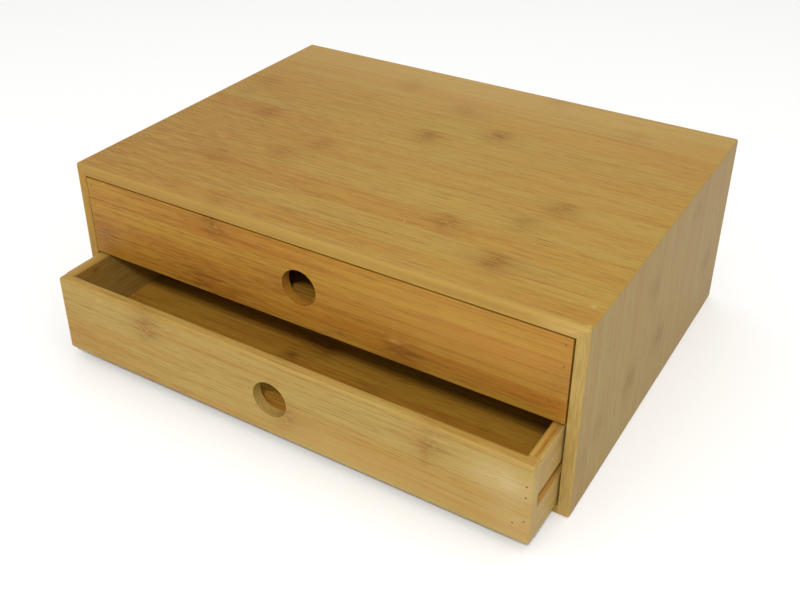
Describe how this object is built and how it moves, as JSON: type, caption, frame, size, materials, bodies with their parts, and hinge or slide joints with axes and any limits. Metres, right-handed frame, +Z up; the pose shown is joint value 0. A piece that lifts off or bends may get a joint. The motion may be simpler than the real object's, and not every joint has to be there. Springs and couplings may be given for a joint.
{
  "type": "desk organizer",
  "caption": "Flat bamboo desk organizer: a mitred case with two stacked drawers that have round finger holes and run on wooden strips.",
  "frame": {"origin": "centre of the case's underside, on the face that stands on the desk", "axes": "+X to the right as the drawers are faced, +Y from the drawer fronts to the back, +Z up"},
  "size_m": [0.35, 0.2945, 0.126],
  "materials": {
    "case_top": "satin clear-coated bamboo, light honey brown, grain from side to side",
    "case_side": "satin clear-coated bamboo, pale greyish straw, upright grain",
    "case_inner": "plain sanded bamboo panel",
    "upper_front": "satin clear-coated bamboo, warm orange brown, grain from side to side",
    "lower_front": "satin clear-coated bamboo, pale honey, grain from side to side",
    "drawer_board": "satin bamboo board, grain along its length",
    "drawer_floor": "plain bamboo panel, grain from side to side",
    "runner": "planed bamboo strip",
    "brad": "dull steel brad"
  },
  "bodies": {
    "case": {"back_panel": "case_inner", "bottom_panel": "case_inner", "left_side_panel": "case_side", "lower_left_runner": "runner", "lower_left_runner_brad_1": "brad", "lower_left_runner_brad_2": "brad", "lower_left_runner_brad_3": "brad", "lower_right_runner": "runner", "lower_right_runner_brad_1": "brad", "lower_right_runner_brad_2": "brad", "lower_right_runner_brad_3": "brad", "right_side_panel": "case_side", "top_panel": "case_top", "upper_left_runner": "runner", "upper_left_runner_brad_1": "brad", "upper_left_runner_brad_2": "brad", "upper_left_runner_brad_3": "brad", "upper_right_runner": "runner", "upper_right_runner_brad_1": "brad", "upper_right_runner_brad_2": "brad", "upper_right_runner_brad_3": "brad"},
    "upper_drawer": {"upper_back_left_brad_1": "brad", "upper_back_left_brad_2": "brad", "upper_back_right_brad_1": "brad", "upper_back_right_brad_2": "brad", "upper_drawer_back": "drawer_board", "upper_drawer_floor": "drawer_floor", "upper_drawer_front": "upper_front", "upper_drawer_left_side": "drawer_board", "upper_drawer_right_side": "drawer_board", "upper_floor_left_brad": "brad", "upper_floor_right_brad": "brad", "upper_front_left_brad_1": "brad", "upper_front_left_brad_2": "brad", "upper_front_left_brad_3": "brad", "upper_front_right_brad_1": "brad", "upper_front_right_brad_2": "brad", "upper_front_right_brad_3": "brad"},
    "lower_drawer": {"lower_back_left_brad_1": "brad", "lower_back_left_brad_2": "brad", "lower_back_right_brad_1": "brad", "lower_back_right_brad_2": "brad", "lower_drawer_back": "drawer_board", "lower_drawer_floor": "drawer_floor", "lower_drawer_front": "lower_front", "lower_drawer_left_side": "drawer_board", "lower_drawer_right_side": "drawer_board", "lower_floor_left_brad": "brad", "lower_floor_right_brad": "brad", "lower_front_left_brad_1": "brad", "lower_front_left_brad_2": "brad", "lower_front_left_brad_3": "brad", "lower_front_right_brad_1": "brad", "lower_front_right_brad_2": "brad", "lower_front_right_brad_3": "brad"}
  },
  "joints": [
    {"name": "upper_drawer_slide", "type": "slide", "parent": "case", "child": "upper_drawer", "axis": [0, -1, 0], "range_m": [0, 0.17]},
    {"name": "lower_drawer_slide", "type": "slide", "parent": "case", "child": "lower_drawer", "axis": [0, -1, 0], "range_m": [-0.0355, 0.1345]}
  ]
}
